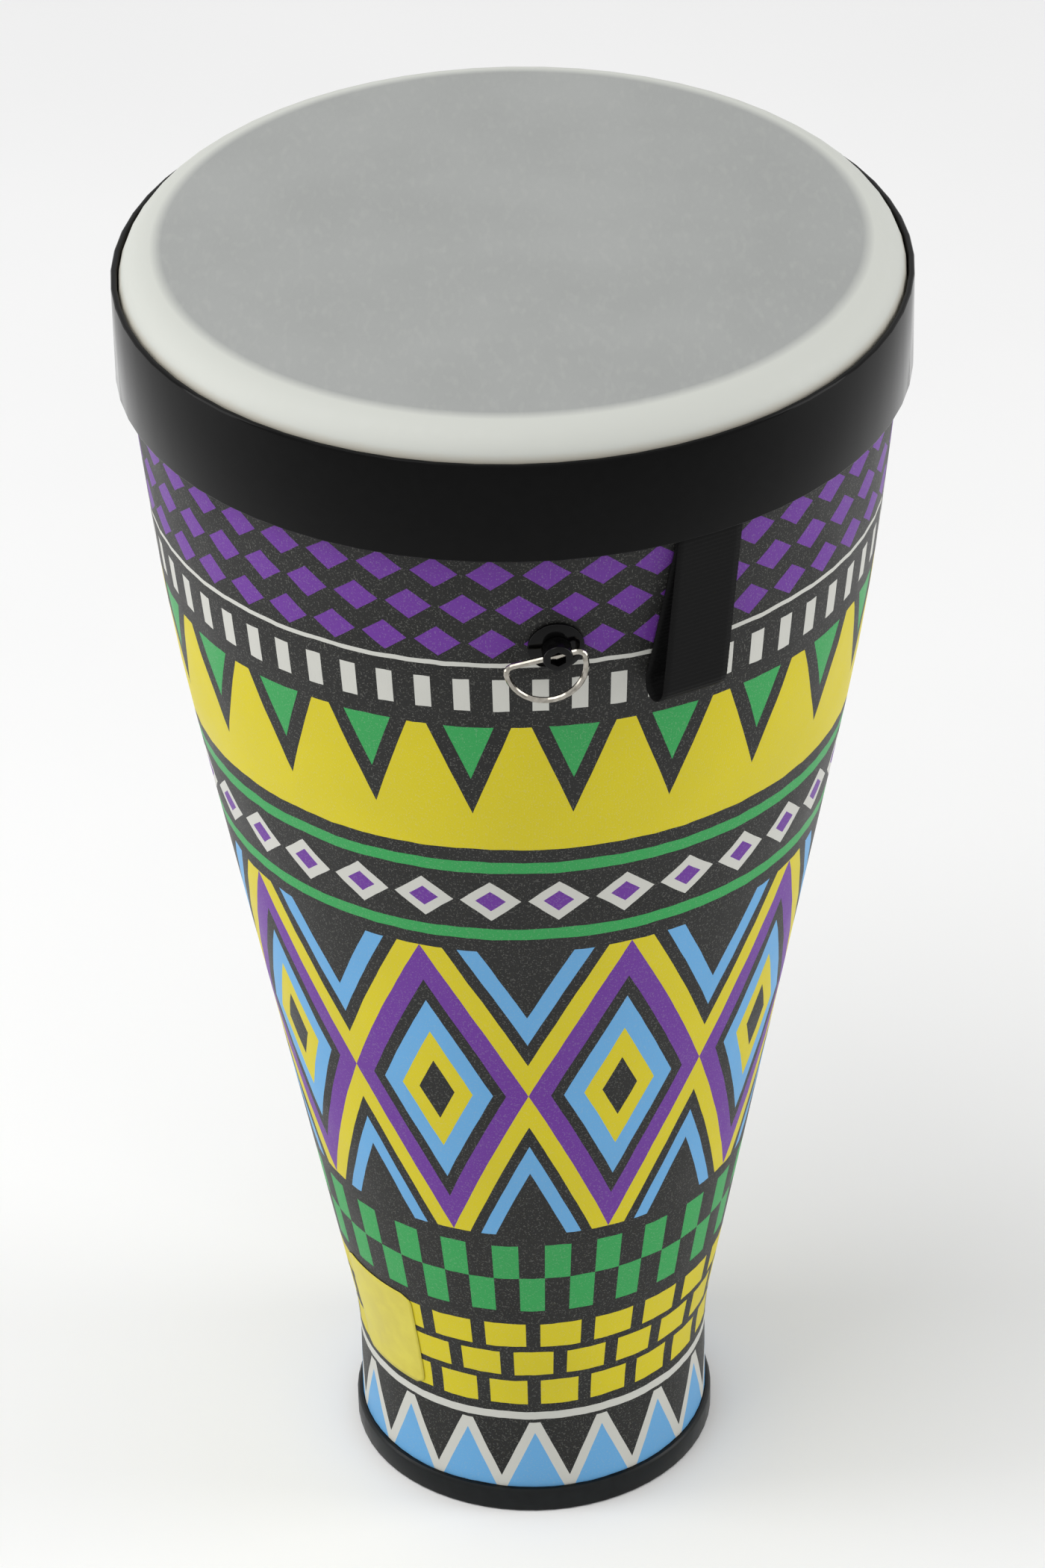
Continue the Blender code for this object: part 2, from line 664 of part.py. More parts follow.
def make_webbing(parts, pockets, holes):
    """The loop that hangs free below the hoop, and the two ends of the strip held under it."""
    surface = material("black_webbing", (0.012, 0.012, 0.013), 0.8)
    place = webbing_frame()
    hinge = add_empty("webbing_hinge", place, parts)
    near_radius = webbing_hinge_radius()
    hang = HOOP_LOW - place.translation.z
    length = WEBBING_DROP - hang - WEBBING_FOLD_RADIUS
    near = Vector((0.0, 0.0))
    far = Vector((WEBBING_FOLD_RADIUS - near_radius, -length))
    curve = bpy.data.curves.new("webbing_loop", "CURVE")
    curve.dimensions = "2D"
    curve.fill_mode = "BOTH"
    curve.extrude = WEBBING_WIDTH / 2
    outer = belt(near, near_radius, far, WEBBING_FOLD_RADIUS, 10)
    inner = belt(near, near_radius - WEBBING_THICKNESS, far, WEBBING_FOLD_RADIUS - WEBBING_THICKNESS, 10)
    poly_spline(curve, [(point.x, point.y, 0.0) for point in outer], closed=True)
    poly_spline(curve, [(point.x, point.y, 0.0) for point in inner], closed=True)
    loop = mesh_from_curve(add_object("webbing_loop", curve, parts, matrix=place), parts, surface)
    lean = Matrix.Identity(4)
    lean[2][1] = -math.tan(WEBBING_LEAN)
    loop.data.transform(lean)
    hang_on(loop, hinge)

    tail_outer = HOOP_INNER - SEAT_GAP
    tail_angle = WEBBING_WIDTH / tail_outer
    tail_line = [
        (tail_outer, HOOP_LOW + WEBBING_TAIL_TUCK),
        (tail_outer, HOOP_LOW - WEBBING_TAIL_SHOW),
    ]
    first_edge = WEBBING_AZIMUTH - math.pi / 2 - tail_angle / 2
    tails = turned("webbing_tails", tail_line, WEBBING_TAIL_STEPS, parts, surface,
                   Matrix.Rotation(first_edge, 4, "Z"), closed=False, angle=tail_angle)
    layers = tails.modifiers.new("Layers", "SOLIDIFY")
    layers.thickness = 2 * WEBBING_THICKNESS
    layers.offset = -1.0
    for pocket in pockets:
        cut(tails, pocket)
    for hole in holes:
        cut(tails, hole)
    settle(tails)


def build():
    """Make every piece of the drum."""
    for old in list(bpy.data.objects):
        bpy.data.objects.remove(old, do_unlink=True)
    scene = bpy.context.scene
    parts = bpy.data.collections.new("timbal_drum")
    cutters = bpy.data.collections.new("cutters")
    scene.collection.children.link(parts)
    scene.collection.children.link(cutters)

    lug_place = lug_frame()
    lug_carrier = add_empty("lug_axis", lug_place, parts)
    stem_hole = make_stem_hole(cutters, lug_place)
    pockets, tack_holes = make_tack_cutters(cutters)
    make_shell(parts, [stem_hole] + tack_holes)
    make_wrap(parts, [stem_hole] + tack_holes)
    make_bearing_ring(parts)
    make_head(parts)
    make_hoop(parts)
    make_foot_ring(parts)
    make_rosette(parts, lug_place, lug_carrier)
    make_screw(parts, cutters, lug_place, lug_carrier)
    make_washer(parts, lug_place, lug_carrier)
    make_nut(parts, cutters, lug_place, lug_carrier)
    ring_place = d_ring_frame(lug_place)
    ring_carrier = add_empty("d_ring_hinge", ring_place, parts)
    make_d_ring(parts, ring_place, ring_carrier)
    make_webbing(parts, pockets, tack_holes)
    make_tacks(parts)


build()
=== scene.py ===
"""Looks of the timbal drum: printed wrap, coated head, gloss hoop, wire ring, ribbed webbing."""

import json
import math

import bpy
from mathutils import Matrix, Vector


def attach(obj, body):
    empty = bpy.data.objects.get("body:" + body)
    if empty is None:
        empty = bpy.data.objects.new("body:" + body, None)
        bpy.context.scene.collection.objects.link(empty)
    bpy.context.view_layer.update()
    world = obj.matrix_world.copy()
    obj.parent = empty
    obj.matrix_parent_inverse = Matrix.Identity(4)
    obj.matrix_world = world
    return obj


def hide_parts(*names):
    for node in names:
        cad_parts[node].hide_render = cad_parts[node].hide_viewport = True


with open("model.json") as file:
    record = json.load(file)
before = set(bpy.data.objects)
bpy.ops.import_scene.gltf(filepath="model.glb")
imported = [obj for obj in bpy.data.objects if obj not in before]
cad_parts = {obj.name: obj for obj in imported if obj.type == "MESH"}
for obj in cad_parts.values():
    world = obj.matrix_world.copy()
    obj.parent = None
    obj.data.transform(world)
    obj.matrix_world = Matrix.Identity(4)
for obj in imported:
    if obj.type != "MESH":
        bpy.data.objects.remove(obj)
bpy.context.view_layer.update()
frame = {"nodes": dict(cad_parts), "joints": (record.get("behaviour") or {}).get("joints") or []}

NODES = frame["nodes"]
JOINTS = {joint["name"]: joint for joint in frame["joints"]}
MM = 0.001


def srgb(red, green, blue):
    """Linear colour of an 8-bit display colour, by the sRGB curve."""
    made = []
    for value in (red, green, blue):
        part = value / 255
        made.append(part / 12.92 if part <= 0.04045 else ((part + 0.055) / 1.055) ** 2.4)
    return (*made, 1.0)


# Inks of the print
BLACK_INK = srgb(33, 33, 32)
PURPLE = srgb(106, 52, 150)
YELLOW = srgb(212, 197, 30)
GREEN = srgb(52, 158, 84)
BLUE = srgb(104, 168, 218)
WHITE = srgb(204, 204, 197)
FADED_INK = srgb(90, 90, 88)
BARE_THREAD = srgb(190, 190, 182)

# Bands of the print from the top down: lowest and highest point, in metres above the floor
LOZENGE_ROWS = ((0.408, 0.422), (0.422, 0.436), (0.436, 0.450))
UPPER_LINE = (0.4052, 0.4070)
BARS = (0.387, 0.400)
TOOTHED_BAND = (0.326, 0.380)
BLACK_TEETH = (0.338, 0.380)
GREEN_TEETH = (0.352, 0.380)
UPPER_STRIPE = (0.315, 0.320)
SMALL_LOZENGES = (0.292, 0.312)
LOWER_STRIPE = (0.284, 0.289)
NESTED_BAND = (0.138, 0.278)
UPPER_CHECKS = (0.115, 0.132)
LOWER_CHECKS = (0.098, 0.115)
BRICK_ROWS = ((0.0490, 0.0610), (0.0640, 0.0760), (0.0790, 0.0910))
LOWER_LINE = (0.0415, 0.0450)
PEAKS_BAND = (0.010, 0.040)
ROW_SHIFTS = (0.0, 0.5, 0.0)

# How many of each motif go round the drum
LOZENGES_ROUND = 44
BARS_ROUND = 60
TEETH_ROUND = 22
SMALL_LOZENGES_ROUND = 30
NESTED_ROUND = 9
CHECKS_ROUND = 26
BRICKS_ROUND = 22
PEAKS_ROUND = 16

# How much of its cell each motif fills
LOZENGE_FILL = 0.86
BAR_FILL = 0.42
SMALL_LOZENGE_FILLS = ((0.9, WHITE), (0.45, PURPLE))
NESTED_FILLS = (
    (1.55, BLUE), (1.36, BLACK_INK), (1.22, YELLOW), (1.00, PURPLE),
    (0.76, BLACK_INK), (0.62, BLUE), (0.40, YELLOW), (0.2, BLACK_INK),
)
BRICK_FILL = 0.74
CREST_FILL = 0.16

# The cloth that the print is on
THREADS_ROUND = 1500.0
THREAD_PITCH = 0.42 * MM
INK_WOBBLE = 1.6 * MM

# Where most values of a noise lie, and the middle of them
NOISE_SPAN = (0.3, 0.7)
NOISE_CORE = (0.35, 0.65)

# Places of the sockets in a colour Mix node, some of which share a name
MIX_SHARE, MIX_FIRST, MIX_SECOND, MIX_RESULT = 0, 6, 7, 2


class Graph:
    """A material's nodes, written as sums and products of signals."""

    def __init__(self, name):
        self.material = bpy.data.materials.new(name)
        self.material.use_nodes = True
        self.nodes = self.material.node_tree.nodes
        self.links = self.material.node_tree.links
        self.shader = self.nodes["Principled BSDF"]
        split = self.nodes.new("ShaderNodeSeparateXYZ")
        self.coordinates = self.nodes.new("ShaderNodeTexCoord")
        self.links.new(self.coordinates.outputs["Object"], split.inputs[0])
        self.x, self.y, self.z = split.outputs

    def plug(self, socket, value):
        """Links a signal to a socket, or sets the socket to a constant."""
        if isinstance(value, bpy.types.NodeSocket):
            self.links.new(value, socket)
        else:
            socket.default_value = value

    def math(self, operation, first, second=0.0):
        node = self.nodes.new("ShaderNodeMath")
        node.operation = operation
        self.plug(node.inputs[0], first)
        self.plug(node.inputs[1], second)
        return node.outputs[0]

    def add(self, first, second):
        return self.math("ADD", first, second)

    def sub(self, first, second):
        return self.math("SUBTRACT", first, second)

    def mul(self, first, second):
        return self.math("MULTIPLY", first, second)

    def less(self, first, second):
        """1 where the first is less than the second, else 0."""
        return self.math("LESS_THAN", first, second)

    def both(self, first, second):
        return self.math("MINIMUM", first, second)

    def wave(self, value):
        """A triangle wave from 0 to 1 with a period of 1."""
        return self.mul(self.math("ABSOLUTE", self.sub(self.math("FRACT", value), 0.5)), 2.0)

    def mix(self, share, first, second):
        """The first colour where the share is 0, the second where it is 1."""
        node = self.nodes.new("ShaderNodeMix")
        node.data_type = "RGBA"
        self.plug(node.inputs[MIX_SHARE], share)
        self.plug(node.inputs[MIX_FIRST], first)
        self.plug(node.inputs[MIX_SECOND], second)
        return node.outputs[MIX_RESULT]

    def noise(self, scale, detail=3.0, stretch=(1, 1, 1)):
        mapping = self.nodes.new("ShaderNodeMapping")
        mapping.inputs["Scale"].default_value = stretch
        self.links.new(self.coordinates.outputs["Object"], mapping.inputs[0])
        node = self.nodes.new("ShaderNodeTexNoise")
        node.inputs["Scale"].default_value = scale
        node.inputs["Detail"].default_value = detail
        self.links.new(mapping.outputs[0], node.inputs["Vector"])
        return node.outputs["Fac"]

    def ramp(self, value, span, made=(0.0, 1.0)):
        """A signal's span, stretched to what is made of it and cut off at both ends."""
        node = self.nodes.new("ShaderNodeMapRange")
        node.inputs["From Min"].default_value, node.inputs["From Max"].default_value = span
        node.inputs["To Min"].default_value, node.inputs["To Max"].default_value = made
        self.plug(node.inputs["Value"], value)
        return node.outputs[0]

    def bump(self, height, strength, distance):
        node = self.nodes.new("ShaderNodeBump")
        node.inputs["Strength"].default_value = strength
        node.inputs["Distance"].default_value = distance
        self.links.new(height, node.inputs["Height"])
        self.links.new(node.outputs[0], self.shader.inputs["Normal"])

    def around(self):
        """Turns round the drum's axis from the front, -0.5 to 0.5."""
        turn = self.math("ARCTAN2", self.x, self.mul(self.y, -1.0))
        return self.mul(turn, 1 / (2 * math.pi))

    def radius(self):
        """Distance from the drum's axis."""
        return self.math("SQRT", self.add(self.mul(self.x, self.x), self.mul(self.y, self.y)))

    def finish(self, colour, roughness, **constants):
        self.plug(self.shader.inputs["Base Color"], colour)
        self.plug(self.shader.inputs["Roughness"], roughness)
        for name, value in constants.items():
            self.shader.inputs[name.replace("_", " ")].default_value = value
        return self.material


class Print(Graph):
    """A material whose colour is painted on a ground, band by band, round the drum."""

    def __init__(self, name, ground):
        super().__init__(name)
        self.turn = self.around()
        self.height = self.add(self.z, self.mul(self.sub(self.noise(60.0, 4.0), 0.5), INK_WOBBLE))
        self.colour = ground

    def columns(self, count, shift=0.0):
        """A triangle wave that goes round the drum count times."""
        return self.wave(self.add(self.mul(self.turn, count), shift))

    def share(self, band):
        """Height within a band, 0 at its foot and 1 at its top."""
        return self.ramp(self.height, band)

    def peak(self, band):
        """Distance from a band's middle, 0 there and 1 at its edges."""
        return self.math("ABSOLUTE", self.sub(self.mul(self.share(band), 2.0), 1.0))

    def paint(self, band, ink, mask=1.0):
        """Puts ink on a band, where the mask is 1."""
        low, high = band
        within = self.both(self.less(low, self.height), self.less(self.height, high))
        self.colour = self.mix(self.both(mask, within), self.colour, ink)

    def teeth(self, band, ink, start, slope):
        """Triangles that hang from a band's top."""
        width = self.mul(self.sub(self.share(band), start), slope)
        self.paint(band, ink, self.less(self.columns(TEETH_ROUND), width))


def paint_upper_bands(g):
    """Purple lozenges, white bars, teeth in a yellow band, and small lozenges between stripes."""
    for band, shift in zip(LOZENGE_ROWS, ROW_SHIFTS):
        lozenge = g.add(g.columns(LOZENGES_ROUND, shift), g.peak(band))
        g.paint(band, PURPLE, g.less(lozenge, LOZENGE_FILL))
    g.paint(UPPER_LINE, WHITE)
    g.paint(BARS, WHITE, g.less(g.columns(BARS_ROUND), BAR_FILL))
    g.paint(TOOTHED_BAND, YELLOW)
    g.teeth(BLACK_TEETH, BLACK_INK, 0.1, 0.9)
    g.teeth(GREEN_TEETH, GREEN, 0.2, 0.6)
    g.paint(UPPER_STRIPE, GREEN)
    lozenge = g.add(g.columns(SMALL_LOZENGES_ROUND), g.peak(SMALL_LOZENGES))
    for fill, ink in SMALL_LOZENGE_FILLS:
        g.paint(SMALL_LOZENGES, ink, g.less(lozenge, fill))
    g.paint(LOWER_STRIPE, GREEN)


def paint_lower_bands(g):
    """Large nested lozenges, green checks, yellow bricks, and blue peaks with white crests."""
    lozenge = g.add(g.columns(NESTED_ROUND), g.peak(NESTED_BAND))
    for fill, ink in NESTED_FILLS:
        g.paint(NESTED_BAND, ink, g.less(lozenge, fill))
    g.paint(UPPER_CHECKS, GREEN, g.less(g.columns(CHECKS_ROUND), 0.5))
    g.paint(LOWER_CHECKS, GREEN, g.less(0.5, g.columns(CHECKS_ROUND)))
    for band, shift in zip(BRICK_ROWS, ROW_SHIFTS):
        g.paint(band, YELLOW, g.less(g.columns(BRICKS_ROUND, shift), BRICK_FILL))
    g.paint(LOWER_LINE, WHITE)
    rise, crest = g.share(PEAKS_BAND), g.columns(PEAKS_ROUND)
    g.paint(PEAKS_BAND, BLUE, g.less(rise, crest))
    from_crest = g.math("ABSOLUTE", g.sub(rise, crest))
    g.paint(PEAKS_BAND, WHITE, g.less(from_crest, CREST_FILL))


def print_material():
    """Bands of plain geometric motifs, printed on woven cloth under a clear film."""
    g = Print("wrap_print", BLACK_INK)
    paint_upper_bands(g)
    paint_lower_bands(g)
    # Plain weave, light flecks where the ink misses the thread, and cloudy ink
    warp = g.wave(g.mul(g.turn, THREADS_ROUND))
    weft = g.wave(g.mul(g.z, 1 / THREAD_PITCH))
    weave = g.mul(g.add(warp, weft), 0.5)
    flecks = g.both(g.less(0.60, g.noise(1500.0, 2.0)), g.less(0.5, weave))
    cloudy = g.ramp(g.noise(26.0, 5.0), NOISE_SPAN, (0.0, 0.07))
    colour = g.mix(cloudy, g.colour, FADED_INK)
    colour = g.mix(g.mul(flecks, 0.20), colour, BARE_THREAD)
    g.bump(g.add(weave, g.noise(400.0)), strength=0.35, distance=0.10 * MM)
    rough = g.ramp(g.noise(40.0), NOISE_SPAN, (0.42, 0.54))
    return g.finish(colour, rough, Coat_Weight=0.10, Coat_Roughness=0.25, Specular_IOR_Level=0.12)


# Radii at which the head turns from its flat to its rim, and from its rim to its foot
HEAD_RIM = (0.1175, 0.1215)
HEAD_FOOT = (0.1310, 0.1325)


def head_material():
    """Coated synthetic skin: pale grey, fibrous; rim lighter, partly painted light; foot tan,
    partly painted shade.
    """
    g = Graph("head_coat")
    radius = g.radius()
    fibres = g.noise(420.0, 6.0, stretch=(1.0, 0.35, 1.0))
    clouds = g.noise(18.0, 6.0)
    colour = g.mix(g.ramp(clouds, NOISE_CORE), srgb(151, 153, 151), srgb(157, 159, 157))
    colour = g.mix(g.ramp(fibres, (0.5, 0.75), (0.0, 0.22)), colour, srgb(184, 185, 181))
    # Lighter rim: partly the coat's own lighter tone, partly painted light that the rounded rim
    # catches from the sides.
    colour = g.mix(g.ramp(radius, HEAD_RIM, (0.0, 0.9)), colour, srgb(205, 207, 200))
    # Tan foot: partly the skin's own tan edge, partly painted shade of the gap under the hoop.
    colour = g.mix(g.ramp(radius, HEAD_FOOT, (0.0, 0.6)), colour, srgb(176, 160, 132))
    g.bump(g.add(fibres, g.mul(g.noise(90.0), 0.6)), strength=0.30, distance=0.12 * MM)
    return g.finish(colour, g.ramp(fibres, NOISE_SPAN, (0.50, 0.66)))


def gloss_material():
    """Moulded black plastic with slight vertical ripples."""
    g = Graph("hoop_gloss")
    ripples = g.noise(26.0, 2.0, stretch=(1.0, 1.0, 0.15))
    colour = g.mix(g.ramp(g.noise(300.0), NOISE_SPAN), srgb(3, 3, 3), srgb(6, 6, 6))
    g.bump(ripples, strength=0.20, distance=0.5 * MM)
    rough = g.ramp(g.noise(60.0), NOISE_SPAN, (0.07, 0.12))
    return g.finish(colour, rough, Specular_IOR_Level=0.09)


def webbing_material():
    """Black woven strap: matt yarn with a little sheen."""
    g = Graph("webbing_yarn")
    yarn = g.noise(2600.0, 3.0, stretch=(1.0, 1.0, 0.4))
    colour = g.mix(g.ramp(yarn, (0.35, 0.70)), srgb(3, 3, 3), srgb(14, 14, 14))
    g.bump(yarn, strength=0.5, distance=0.12 * MM)
    rough = g.ramp(yarn, NOISE_SPAN, (0.62, 0.8))
    return g.finish(colour, rough, Specular_IOR_Level=0.15)


def speckled(name, dark, light, rough, scale, bump, metallic=0.0, specular=0.5):
    """A surface of two near colours with fine grain. Its bump is given in millimetres."""
    g = Graph(name)
    grain = g.noise(scale, 5.0)
    colour = g.mix(g.ramp(grain, NOISE_CORE), srgb(*dark), srgb(*light))
    g.bump(grain, strength=0.25, distance=bump * MM)
    rough = g.ramp(grain, NOISE_SPAN, rough)
    return g.finish(colour, rough, Metallic=metallic, Specular_IOR_Level=specular)


SURFACES = {
    "printed_wrap": print_material(),
    "drumhead": head_material(),
    "hoop": gloss_material(),
    "shell": speckled(
        "fibreboard", (132, 108, 80), (160, 134, 102), rough=(0.8, 0.9), scale=240.0, bump=0.2),
    "bearing_ring": speckled(
        "ring_plastic", (44, 44, 46), (56, 56, 58), rough=(0.5, 0.62), scale=300.0, bump=0.05),
    "foot_ring": speckled(
        "rubber", (6, 9, 10), (13, 17, 18), rough=(0.32, 0.42), scale=260.0, bump=0.05,
        specular=0.2),
    "lug_rosette": speckled(
        "rosette_black", (4, 4, 4), (8, 8, 8), rough=(0.06, 0.10), scale=300.0, bump=0.01,
        specular=0.14),
    "lug_screw": speckled(
        "screw_black", (5, 5, 5), (10, 10, 10), rough=(0.14, 0.22), scale=500.0, bump=0.01,
        specular=0.14),
    "lug_inner_washer": speckled(
        "washer_zinc", (150, 150, 152), (176, 176, 176), rough=(0.3, 0.42), scale=400.0,
        bump=0.02, metallic=1.0),
    "lug_nut": speckled(
        "nut_zinc", (146, 146, 150), (172, 172, 174), rough=(0.3, 0.42), scale=400.0,
        bump=0.02, metallic=1.0),
    "d_ring": speckled(
        "ring_nickel", (140, 136, 127), (168, 163, 154), rough=(0.08, 0.14), scale=500.0,
        bump=0.02, metallic=1.0),
    "webbing_tack_1": speckled(
        "tack_zinc", (150, 150, 152), (170, 170, 172), rough=(0.35, 0.45), scale=400.0,
        bump=0.02, metallic=1.0),
}
SURFACES["webbing_tack_2"] = SURFACES["webbing_tack_1"]

WELD_REACH = 0.01 * MM
HARD_EDGE = math.radians(30)


def dress(node, surface):
    """Gives a CAD node its surface, and shades it smooth between its hard edges."""
    mesh = node.data
    mesh.materials.clear()
    mesh.materials.append(surface)
    if "custom_normal" in mesh.attributes:
        mesh.attributes.remove(mesh.attributes["custom_normal"])
    mesh.shade_smooth()
    node.modifiers.new("Weld", "WELD").merge_threshold = WELD_REACH
    node.modifiers.new("Hard edges", "EDGE_SPLIT").split_angle = HARD_EDGE


for name, surface in SURFACES.items():
    dress(NODES[name], surface)


def wall_points():
    """Heights and widest radii of the printed wrap's points.

    Round the lug's hole some heights have points on the wrap's inner face alone.
    """
    widest = {}
    for vertex in NODES["printed_wrap"].data.vertices:
        height = round(vertex.co.z, 4)
        widest[height] = max(widest.get(height, 0.0), math.hypot(vertex.co.x, vertex.co.y))
    return sorted(widest.items())


WALL = wall_points()


def wall_radius(height):
    """Radius of the wall at a height, between the wrap's points."""
    for (low, near), (high, far) in zip(WALL, WALL[1:]):
        if height <= high:
            return near + (far - near) * (height - low) / (high - low)
    return WALL[-1][1]


def mesh_object(name, points, faces, surface):
    """A smooth-shaded mesh object."""
    mesh = bpy.data.meshes.new(name)
    mesh.from_pydata(points, [], faces)
    mesh.materials.append(surface)
    mesh.shade_smooth()
    made = bpy.data.objects.new(name, mesh)
    bpy.context.scene.collection.objects.link(made)
    return made


# The webbing strip and its ribs
WEBBING_WIDTH = 24.0 * MM
WEBBING_LAYER = 0.70 * MM
RIB_DEPTH = 0.15 * MM
RIB_STEP = 0.25 * MM
STEPS_PER_RIB = 6
ACROSS_STEPS = 10
EDGE_SHARE = 0.55
ROUNDING = 1e-12

# The hanging loop: a belt round a small circle under the hoop and a large one below it
LOOP_NEAR = 0.475 * MM
LOOP_FAR = 5.525 * MM
LOOP_OFFSET = 5.05 * MM
LOOP_LENGTH = 52.45 * MM
LOOP_LEAN = math.tan(math.radians(8.8))
LOOP_ARC_STEPS = 24
TILT_DROP = 15.0 * MM
TILT_STEP = 0.5 * MM

# The strip's two ends, flat between the wrap and the hoop
TAIL_LOW, TAIL_HIGH = 0.4506, 0.4636
TAIL_RADII = (131.70 * MM, 132.23 * MM)
TAIL_LAYER = 0.5 * MM
TAIL_WIDTH = WEBBING_WIDTH * 0.995


def strap_ring(point, normal, half, place, width):
    """Points round a strap at one place: over one face, and back over the other."""
    ring = []
    for side in (1, -1):
        for column in range(ACROSS_STEPS + 1)[::side]:
            across = (column / ACROSS_STEPS - 0.5) * width
            share = EDGE_SHARE if column in (0, ACROSS_STEPS) else 1.0
            spot = point + normal * (half * side * share)
            ring.append(place(spot.x, spot.y, across))
    return ring


def strap_faces(rings, closed):
    """Faces between a strap's rings, with its ends capped unless it is closed."""
    size = 2 * (ACROSS_STEPS + 1)
    faces = []
    for row in range(rings if closed else rings - 1):
        here, there = row * size, (row + 1) % rings * size
        for slot in range(size):
            other = (slot + 1) % size
            faces.append((here + slot, here + other, there + other, there + slot))
    if not closed:
        faces.append(tuple(range(size)))
        faces.append(tuple((rings - 1) * size + slot for slot in reversed(range(size))))
    return faces


def ribbon(name, path, closed, place, width, thickness, surface):
    """A strap along a path of (x, y) points, ribbed across its width.

    place gives the scene's point for x, y and a distance across the strap.
    """
    count = len(path)
    points = []
    for index, point in enumerate(path):
        before = path[index - 1] if closed or index > 0 else point
        after = path[(index + 1) % count] if closed or index < count - 1 else point
        along = (after - before).normalized()
        normal = Vector((-along.y, along.x))
        groove = 0.5 + 0.5 * math.cos(2 * math.pi * index / STEPS_PER_RIB)
        points += strap_ring(point, normal, thickness / 2 - RIB_DEPTH * groove, place, width)
    return mesh_object(name, points, strap_faces(count, closed), surface)


def resample(path, step, closed):
    """Points at even steps along a path, for a whole number of ribs, and the path's length."""
    line = path + [path[0]] if closed else path
    lengths = [(after - before).length for before, after in zip(line, line[1:])]
    total = sum(lengths)
    count = STEPS_PER_RIB * max(1, round(total / step / STEPS_PER_RIB))
    made = []
    for index in range(count if closed else count + 1):
        travel = total * index / count
        for before, after, length in zip(line, line[1:], lengths):
            if travel <= length + ROUNDING:
                made.append(before + (after - before) * (travel / length))
                break
            travel -= length
    return made, total


def belt(far, near_radius, far_radius):
    """Points of the outline round two circles, one at (0, 0) and one at far."""
    swing = math.asin((far_radius - near_radius) / far.length)
    heading = math.atan2(far.y, far.x)
    arcs = (
        (Vector((0.0, 0.0)), near_radius, heading + math.pi / 2 + swing, math.pi - 2 * swing),
        (far, far_radius, heading - math.pi / 2 - swing, math.pi + 2 * swing),
    )
    outline = []
    for centre, radius, start, sweep in arcs:
        for step in range(LOOP_ARC_STEPS + 1):
            turn = start + sweep * step / LOOP_ARC_STEPS
            outline.append(centre + Vector((math.cos(turn), math.sin(turn))) * radius)
    return outline


def hanging_loop(origin, across_axis, surface):
    """The open loop below the hoop, hung from its hinge line and leaning along the wall."""
    height = origin.z - TILT_DROP
    flare = wall_radius(height + TILT_STEP) - wall_radius(height - TILT_STEP)
    tilt = math.atan2(flare, 2 * TILT_STEP)
    plain_out = Vector((origin.x, origin.y, 0.0)).normalized()
    out_axis = plain_out * math.cos(tilt) - Vector((0, 0, math.sin(tilt)))
    up_axis = across_axis.cross(out_axis)

    def loop_place(x, y, z):
        return origin + out_axis * x + up_axis * y + across_axis * (z - LOOP_LEAN * y)

    outline = belt(Vector((LOOP_OFFSET, -LOOP_LENGTH)), LOOP_NEAR, LOOP_FAR)
    path, loop_length = resample(outline, RIB_STEP, True)
    loop = ribbon("webbing_strip", path, True, loop_place, WEBBING_WIDTH, WEBBING_LAYER, surface)
    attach(loop, "webbing_loop")
    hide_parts("webbing_loop")


def flat_end(name, azimuth, radius, surface):
    """One end of the strip, bent round the drum under the hoop."""
    def tail_place(x, y, z):
        turn = azimuth - z / radius
        reach = radius + x
        return Vector((math.sin(turn) * reach, -math.cos(turn) * reach, y))

    ends = [Vector((0.0, TAIL_LOW)), Vector((0.0, TAIL_HIGH))]
    strip, tail_length = resample(ends, RIB_STEP, False)
    tail = ribbon(name, strip, False, tail_place, TAIL_WIDTH, TAIL_LAYER, surface)
    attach(tail, "drum")
    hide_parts("webbing_tails")


def webbing():
    """The ribbed strip: a loop that hangs open, and its two flat ends."""
    yarn = webbing_material()
    hinge = JOINTS["webbing_hinge"]
    origin = Vector(hinge["pos_m"])
    hanging_loop(origin, Vector(hinge["axis"]).normalized(), yarn)
    azimuth = math.atan2(origin.x, -origin.y)
    for index, radius in enumerate(TAIL_RADII):
        flat_end("webbing_end_" + str(index + 1), azimuth, radius, yarn)


webbing()

# The bare yellow patch on the lower left of the wrap
PATCH_LOW, PATCH_HIGH = 0.048, 0.093
PATCH_LEFT, PATCH_RIGHT = math.radians(-69.0), math.radians(-38.0)
PATCH_CORNER = 4.0 * MM
PATCH_LIFT = 0.16 * MM
PATCH_FILM = 0.12 * MM
PATCH_STEPS = 24


def patch_points():
    """Rows of points over the wrap, shorter where the patch's corners are rounded."""
    middle = (PATCH_LOW + PATCH_HIGH) / 2
    centre = (PATCH_LEFT + PATCH_RIGHT) / 2
    half_width = wall_radius(middle) * (PATCH_RIGHT - PATCH_LEFT) / 2
    half_height = (PATCH_HIGH - PATCH_LOW) / 2
    points = []
    for row in range(PATCH_STEPS + 1):
        y = (row / PATCH_STEPS * 2 - 1) * half_height
        inset = max(0.0, abs(y) - (half_height - PATCH_CORNER))
        rounding = PATCH_CORNER - math.sqrt(max(PATCH_CORNER ** 2 - inset ** 2, 0.0))
        reach = wall_radius(middle + y) + PATCH_LIFT
        for column in range(PATCH_STEPS + 1):
            x = (column / PATCH_STEPS * 2 - 1) * (half_width - rounding)
            turn = centre + x / wall_radius(middle)
            points.append((math.sin(turn) * reach, -math.cos(turn) * reach, middle + y))
    return points


